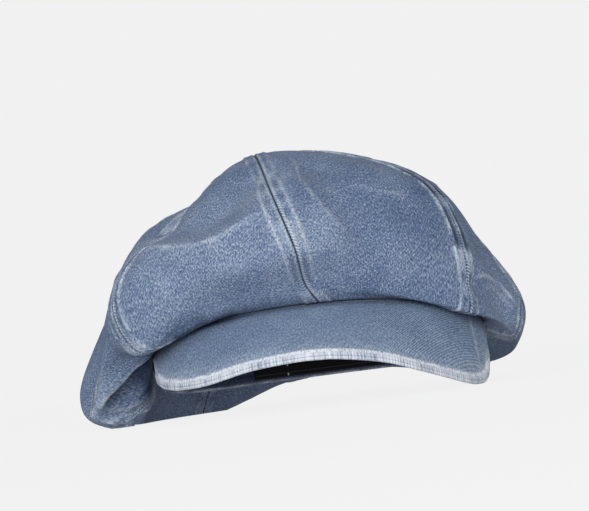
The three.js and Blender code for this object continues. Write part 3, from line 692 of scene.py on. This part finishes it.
def peak_layer(name, node, below, layer, roll, under):
    s1, dep, run = outline(300)
    y = dep[None, :] - INSET[:, None] * (dep[None, :] / PEAK_DEPTH)
    S, D = np.broadcast_to(s1, y.shape), np.broadcast_to(dep, y.shape)
    edge = peak_point(s1, dep, dep, below)
    hold = ROLL_OUT * np.clip(dep / 10, 0, 1)  # the rolled edge, not the flat of the cloth, reaches the outline
    tangent = np.gradient(edge, axis=0)
    out_dir = np.stack([-tangent[:, 1], tangent[:, 0], np.zeros(len(s1))], -1)
    out_dir /= np.linalg.norm(out_dir, axis=-1, keepdims=True)
    centre = edge[len(edge) // 2] + np.array([0, 30, 0])
    sign = np.sign(((edge - centre) * out_dir).sum(-1).mean())
    out_dir *= sign
    drawn = (1 - step(INSET, 0, 9))[:, None] * hold[None, :]
    top = peak_point(S, y, D, below) - out_dir[None] * drawn[..., None]
    edge = edge - out_dir * hold[:, None]
    dist = np.full(y.shape, 1e9)
    for i in range(0, len(edge), 1):
        dist = np.minimum(dist, np.linalg.norm(top - edge[i], axis=-1))
    n_out = np.broadcast_to(out_dir, top.shape)
    side_end = step(np.abs(S), 0.93, 0.995)
    right_end = side_end * (S > 0)
    q = np.stack([np.broadcast_to(run, y.shape), dist, np.zeros_like(y)], -1)
    if not under:
        rise = 0.42 * bump(dist, 1.5, 1.2) * (1 - 0.6 * right_end) - 0.1 * bump(dist, 5.0, 2.0)
        rise += 0.22 * noise3(top, 24.0, 21) * step(y, 0, 8) + 0.06 * noise3(q, 4.0, 22)
        # crease that runs front to back a little inside the right end
        x_line = top[:, :, 0].max() - 8.5
        rise -= 0.3 * bump(top[..., 0], x_line, 0.7) * step(y, 2, 8) * (1 - step(dist, 0, 3) * 0)
        top[..., 2] += rise
    back = top[::-1]  # rows from the root to the edge
    rows, low_rows = [back[i] for i in range(len(back))], []
    lower = (peak_point(S, np.minimum(y, D * (1 - 0.9 / PEAK_DEPTH)), D, below + layer) - out_dir[None] * drawn[..., None])[::-1]
    low_rows = [lower[i] for i in range(len(lower))]
    wave_q = np.stack([run, np.full_like(run, 7.0), np.zeros_like(run)], -1)
    wave = noise3(wave_q, 7.0, 31) + 0.6 * noise3(wave_q, 3.2, 32)
    for o, dz in roll:
        rows.append(edge + out_dir * (o + (0.12 if under else 0.05) * wave[:, None]) + np.array([0, 0, -1.0]) * dz * (1 + 0.1 * wave[:, None] * (1 - dz / 2.6)))
        low_rows.append(lower[-1] + out_dir * 0.05 * len(rows[len(back):]) * 0)
    outer, inner = np.stack(rows), np.stack(low_rows)
    m, r = len(back), len(roll)
    d_rows = np.concatenate([dist[::-1], np.zeros((r, len(run)))])
    se = np.concatenate([side_end[::-1], np.broadcast_to(side_end[0], (r, len(run)))])
    re = np.concatenate([right_end[::-1], np.broadcast_to(right_end[0], (r, len(run)))])
    le = se - re
    qq = np.concatenate([q[::-1], np.broadcast_to(q[0], (r, len(run), 3))])
    grainy = 0.8 + 0.35 * noise3(qq, 7.0, 25) + 0.2 * noise3(qq, 2.5, 26)
    fine_w = 1.7 - 0.6 * re + 0.5 * le
    wear = np.exp(-((d_rows / fine_w) ** 2)) * grainy + 0.2 * np.exp(-d_rows / 5.5) * (1 - 0.5 * re)
    wear *= 1 - 0.5 * re
    wear = np.maximum(wear, 0.9 * le * np.exp(-((d_rows / 2.4) ** 2)))
    wear[m:] *= np.linspace(0.9, 0.52, r)[:, None]
    if not under:
        x_line = top[:, :, 0].max() - 8.5
        light = np.concatenate([(bump(top[..., 0], x_line - 1.2, 0.9) * step(y, 4, 10))[::-1], np.zeros((r, len(run)))])
        wear = np.maximum(wear, 0.22 * light)
    rib = np.concatenate([np.zeros((m, len(run))), np.ones((r, len(run)))])
    rib[m - 1] = 0.25
    rib *= 1 - 0.5 * se
    if under:
        rib[m:] *= 0.8
    # Painted shade at the peak's root, where the crown hangs over it, and a painted shadow under the crown's lifted
    # edge towards the left end.
    dark = np.zeros_like(wear)
    dark[0:3] = 0.5 if not under else 0.3
    painted_crown_shadow = np.concatenate([(np.clip(np.exp(-((y / 5.5) ** 2)) * (0.25 + 0.45 * bump(S, -0.45, 0.28)) + 0.9 * np.exp(-((y / 4.2) ** 4)) * bump(S, -0.68, 0.3), 0, 0.97) * (1 - 0.9 * step(-S, 0.93, 0.985)))[::-1], np.zeros((r, len(run)))])
    dark = np.maximum(dark, painted_crown_shadow)
    n_in = inner.shape[0] * inner.shape[1]
    zeros = np.zeros(n_in)
    low_wear = np.exp(-((np.concatenate([dist[::-1], np.zeros((r, len(run)))]) / 3.0) ** 2)).ravel() * (0.8 if under else 0.3)
    cols = {
        "wear": np.concatenate([np.clip(wear, 0, 1).ravel(), low_wear]),
        "dark": np.concatenate([np.clip(dark, 0, 1).ravel(), zeros]),
        "edge": np.concatenate([rib.ravel(), zeros]),
        "edge_v": np.concatenate([np.broadcast_to(run, wear.shape).ravel()] * 2),
    }
    uv = np.concatenate([outer[..., :2].reshape(-1, 2), inner[..., :2].reshape(-1, 2)]) / 100.0
    ob = make_mesh(name, shell(outer[::-1], inner[::-1]) if sign < 0 else shell(outer[::-1], inner[::-1]), attributes={k: flip(v, outer.shape[:2]) for k, v in cols.items()}, uvs=flip_uv(uv, outer.shape[:2]), materials=[PEAKM])
    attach(ob, "root")
    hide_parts(node)
    flat = area_of(ob) / 2
    width = (edge[:, 0].max() - edge[:, 0].min()) / 1000
    deep = flat / width * 1.3
    flats.append((name, round(width, 4), round(deep, 4), round(flat, 5)))
    return ob


def flip(v, shape):
    a, b = v[: shape[0] * shape[1]].reshape(shape), v[shape[0] * shape[1] :].reshape(shape)
    return np.concatenate([a[::-1].ravel(), b[::-1].ravel()])


def flip_uv(v, shape):
    k = shape[0] * shape[1]
    a, b = v[:k].reshape(*shape, 2), v[k:].reshape(*shape, 2)
    return np.concatenate([a[::-1].reshape(-1, 2), b[::-1].reshape(-1, 2)])


peak_layer("peak_upper_cloth", "peak_upper", 0.0, PEAK_LAYER, [(0.42, 0.1), (0.78, 0.34), (1.04, 0.72), (1.16, 1.2), (1.2, 1.75), (1.17, 2.4)], False)
peak_layer("peak_under_cloth", "peak_under", PEAK_LAYER + 0.4, PEAK_LAYER, [(1.04, 0.0), (1.16, 0.28), (1.14, 0.8), (1.0, 1.32), (0.74, 1.76), (0.4, 2.0)], True)


# ------------------------------------------------------------------ headband
def ring_loop(name, node, loop, steps, material, wear_of, dark_of):
    th = np.linspace(-np.pi, np.pi, steps, endpoint=False)
    m = len(loop)
    pts, wear, dark, uv = [], [], [], []
    run = np.concatenate([[0], np.cumsum([math.hypot(loop[(i + 1) % m][0] - loop[i][0], loop[(i + 1) % m][1] - loop[i][1]) for i in range(m - 1)])])
    arc = np.concatenate([[0], np.cumsum(np.linalg.norm(np.diff(ring(th), axis=0), axis=-1))])
    for i, (inset, dz) in enumerate(loop):
        p = ring(th, inset)
        p[:, 2] += dz
        wob = 0.22 * noise3(p, 14.0, 41) + 0.1 * noise3(p, 5.0, 42)
        radial = np.stack([np.sin(th), -np.cos(th), np.zeros_like(th)], -1)
        p = p + radial * wob[:, None] * (1.0 if 1.9 < inset and dz > 1 else 0.3)
        pts.append(p)
        # Painted shade on the band's lower edge round the left corner, where its pale worn line is left out.
        left_painted_shade = step(th, rad(-114), rad(-106)) * (1 - step(th, rad(-73), rad(-67)))
        wear.append(wear_of(inset, dz) * (1 - left_painted_shade) * (0.75 + 0.5 * noise3(p, 6.0, 43)))
        dark.append(dark_of(inset, dz) + 0.6 * left_painted_shade * (dz < 1))
        uv.append(np.stack([arc, np.full_like(arc, run[i])], -1))
    pts = np.stack(pts, 1)
    ids = np.arange(steps * m).reshape(steps, m)
    nxt, up = np.roll(ids, -1, 0), np.roll(ids, -1, 1)
    quads = np.stack([ids, up, np.roll(nxt, -1, 1), nxt], -1).reshape(-1, 4)
    flat = lambda a: np.clip(np.stack(a, 1), 0, 1).ravel()
    z = np.zeros(steps * m)
    cols = {"wear": flat(wear), "dark": flat(dark), "stitch": z, "seam_v": z, "seam_d": z + 50}
    ob = make_mesh(name, (pts.reshape(-1, 3), quads), attributes=cols, uvs=np.stack(uv, 1).reshape(-1, 2) / 100.0, materials=[material])
    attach(ob, "root")
    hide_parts(node)
    return ob


BAND_LOOP = [
    (0.25, -0.15), (0.15, -0.75), (0.7, -1.25), (1.7, -1.45), (2.8, -1.3), (3.75, -0.7), (4.1, 0.3), (4.15, 1.6), (4.0, 3.0),
    (3.75, 4.2), (3.95, 5.2), (4.15, 7.5), (4.3, 12), (4.4, 17), (4.5, 22), (4.55, 27), (4.6, 29.3), (4.2, 30.2), (3.3, 30.2), (2.85, 29.3),
    (2.7, 22), (2.45, 14), (2.2, 7), (1.95, 2.5), (1.85, 0.2), (1.2, -0.15),
]
band = ring_loop(
    "headband_cloth", "headband", BAND_LOOP, 420, BAND,
    lambda inset, dz: 0.85 * math.exp(-(((dz + 1.1) / 0.9) ** 2)),
    lambda inset, dz: 0.6 * math.exp(-(((dz - 4.2) / 0.6) ** 2)) if inset > 3 else 0.0,
)
band_area = area_of(band) / 2
flats.append(("headband_cloth", 0.59, 0.033, round(band_area, 5)))


# ------------------------------------------------------------------ black tape and its two tacking stitches
def tape():
    cols_n, rows_n = 110, 66
    a = np.pi + rad(TAPE_HALF_ANGLE) * np.linspace(1, -1, cols_n)
    dz = np.linspace(1.0, 27.0, rows_n)
    A, Z = np.meshgrid(a, dz)
    base = 4.75 + 0.55 * Z / 30.0
    ribbing = 0.13 * np.sin(2 * np.pi * Z / 1.7) * step(Z, 1.0, 2.0) * step(27.0 - Z, 0.0, 1.0)
    sag = 0.35 * noise3(np.stack([A * 80, Z, 0 * Z], -1), 18.0, 51)
    face = ring(A, 0) * 0
    face = np.stack([RING_X + (RING_HALF_WIDTH - base - 1.2 - ribbing - sag) * np.sin(A), -(RING_HALF_DEPTH - base - 1.2 - ribbing - sag) * np.cos(A), section(1, wrap(A)) + Z], -1)
    back = np.stack([RING_X + (RING_HALF_WIDTH - base + 0.05) * np.sin(A), -(RING_HALF_DEPTH - base + 0.05) * np.cos(A), section(1, wrap(A)) + Z], -1)
    # A paler grey line across the tape 3.4 mm above the cap's rim, and a fainter one at 1.2 mm.
    wear = 0.75 * bump(Z, 3.4, 0.4) + 0.2 * bump(Z, 1.2, 0.4)
    z = np.zeros(A.size)
    uv = np.stack([A * 85.0, Z], -1).reshape(-1, 2) / 100.0
    ob = make_mesh("back_tape", shell(face, back), attributes={"wear": np.concatenate([wear.ravel(), z])}, uvs=np.concatenate([uv, uv]), materials=[TAPE])
    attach(ob, "root")
    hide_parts("back_elastic")
    flats.append(("back_tape", 0.08, 0.026, round(area_of(ob) / 2, 5)))
    return face


tape_face = tape()


def tack(name, x, z, length, radius):
    """One short loop of thread that stands a little off the tape."""
    flatp = tape_face.reshape(-1, 3)
    i = np.argmin((flatp[:, 0] - x) ** 2 + (flatp[:, 2] - z) ** 2)
    base = flatp[i]
    u = np.linspace(0, 1, 17)
    path = base + np.stack([0.25 * np.sin(u * 3.0), -0.1 - 0.5 * np.sin(np.pi * u), (u - 0.5) * length], -1)
    ang = np.linspace(0, 2 * np.pi, 10, endpoint=False)
    r = radius * np.sin(np.pi * np.clip(u, 0.04, 0.96)) ** 0.4
    rings = path[:, None, :] + r[:, None, None] * np.stack([np.cos(ang), np.sin(ang), 0 * ang], -1)[None]
    n, m = rings.shape[:2]
    ids = np.arange(n * m).reshape(n, m)
    quads = np.stack([ids[:-1], np.roll(ids, -1, 1)[:-1], np.roll(ids, -1, 1)[1:], ids[1:]], -1).reshape(-1, 4)
    caps = []
    for row, turn in ((ids[0], 1), (ids[-1], -1)):
        for j in range(0, m // 2 - 1):
            quad = [row[j], row[m - 1 - j], row[m - 2 - j], row[j + 1]]
            caps.append(quad if turn > 0 else quad[::-1])
    ob = make_mesh(name, (rings.reshape(-1, 3), np.concatenate([quads, np.array(caps)])), uvs=np.zeros((n * m, 2)), materials=[THREAD])
    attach(ob, "root")


tack("tape_tack_upper", -16.2, 23.6, 2.2, 0.42)
tack("tape_tack_lower", -16.5, 17.4, 2.0, 0.42)

# ------------------------------------------------------------------ stage, light and camera
FLOOR_TONE, WALL_TONE, FLOOR_SHADE = 0.845, 0.856, 0.05


def stage_sheet():
    r = 6.0
    rows = [(-r, 0.0), (2.2, 0.0)]
    for i in range(1, 13):
        a = math.radians(90 * i / 12)
        rows.append((2.2 + 1.2 * math.sin(a), 1.2 - 1.2 * math.cos(a)))
    rows.append((3.4, 7.0))
    verts = [(x, y, z - 0.00002) for y, z in rows for x in (-r, r)]
    faces = [(2 * i, 2 * i + 1, 2 * i + 3, 2 * i + 2) for i in range(len(rows) - 1)]
    me = bpy.data.meshes.new("floor")
    me.from_pydata(verts, [], faces)
    me.polygons.foreach_set("use_smooth", [True] * len(faces))
    ob = bpy.data.objects.new("floor", me)
    bpy.context.scene.collection.objects.link(ob)
    n = Nodes("pale_floor")
    place = n.add("ShaderNodeSeparateXYZ", {0: n.add("ShaderNodeTexCoord").outputs["Object"]}).outputs[1]
    tone = n.add("ShaderNodeMapRange", {"Value": place, "From Min": 0.3, "From Max": 3.2, "To Min": FLOOR_TONE, "To Max": WALL_TONE}, interpolation_type="SMOOTHSTEP").outputs[0]
    glow = n.add("ShaderNodeEmission", {"Color": (1, 1, 1, 1), "Strength": tone})
    face = n.add("ShaderNodeBsdfDiffuse", {"Color": (FLOOR_SHADE, FLOOR_SHADE, FLOOR_SHADE * 1.02, 1)})
    both = n.add("ShaderNodeAddShader", {0: glow.outputs[0], 1: face.outputs[0]})
    n.add("ShaderNodeOutputMaterial", {"Surface": both.outputs[0]})
    me.materials.append(n.mat)
    ob.visible_diffuse = False
    ob.visible_glossy = False
    ob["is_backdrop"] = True
    return ob


stage_sheet()


def area_light(name, at, size, power, colour=(1, 1, 1), aim=(0, 0, 0.07)):
    li = bpy.data.lights.new(name, "AREA")
    li.shape = "DISK"
    li.size = size
    li.energy = power
    li.color = colour
    ob = bpy.data.objects.new(name, li)
    ob.location = at
    ob.rotation_euler = (Vector(at) - Vector(aim)).to_track_quat("Z", "Y").to_euler()
    bpy.context.scene.collection.objects.link(ob)
    return ob


area_light("front_low", (0, -2.2, 0.4), 1.2, 35)
area_light("key_low", (-1.5, -1.6, 0.45), 1.2, 8)

world = bpy.data.worlds.new("studio")
bpy.context.scene.world = world
world.use_nodes = True
world.node_tree.nodes["Background"].inputs[0].default_value = (1.0, 1.0, 1.0, 1.0)
world.node_tree.nodes["Background"].inputs[1].default_value = 0.42

YAW, PITCH, ROLL = math.radians(-0.3), math.radians(2.46), math.radians(7.4)
fwd = Vector((-math.sin(YAW) * math.cos(PITCH), math.cos(YAW) * math.cos(PITCH), math.sin(PITCH)))
side = Vector((math.cos(YAW), math.sin(YAW), 0))
down = -side.cross(fwd)
c, s = math.cos(ROLL), math.sin(ROLL)
side_r, down_r = c * side + s * down, -s * side + c * down
cam_data = bpy.data.cameras.new("camera")
cam_data.sensor_fit = "HORIZONTAL"
cam_data.sensor_width = 36.0
cam_data.lens = 2210.0 * 36.0 / 589.0
cam_data.clip_start, cam_data.clip_end = 0.05, 50.0
camera = bpy.data.objects.new("camera", cam_data)
bpy.context.scene.collection.objects.link(camera)
place = Matrix((side_r, -down_r, -fwd)).transposed().to_4x4()
place.translation = Vector(((-10 + SHIFT[0]) / 1000, (-1300 + SHIFT[1]) / 1000, 0.031))
camera.matrix_world = place
bpy.context.scene.camera = camera
bpy.context.scene.view_settings.view_transform = "Standard"

# ------------------------------------------------------------------ sizes, and the end
bpy.context.view_layer.update()
lo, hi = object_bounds()
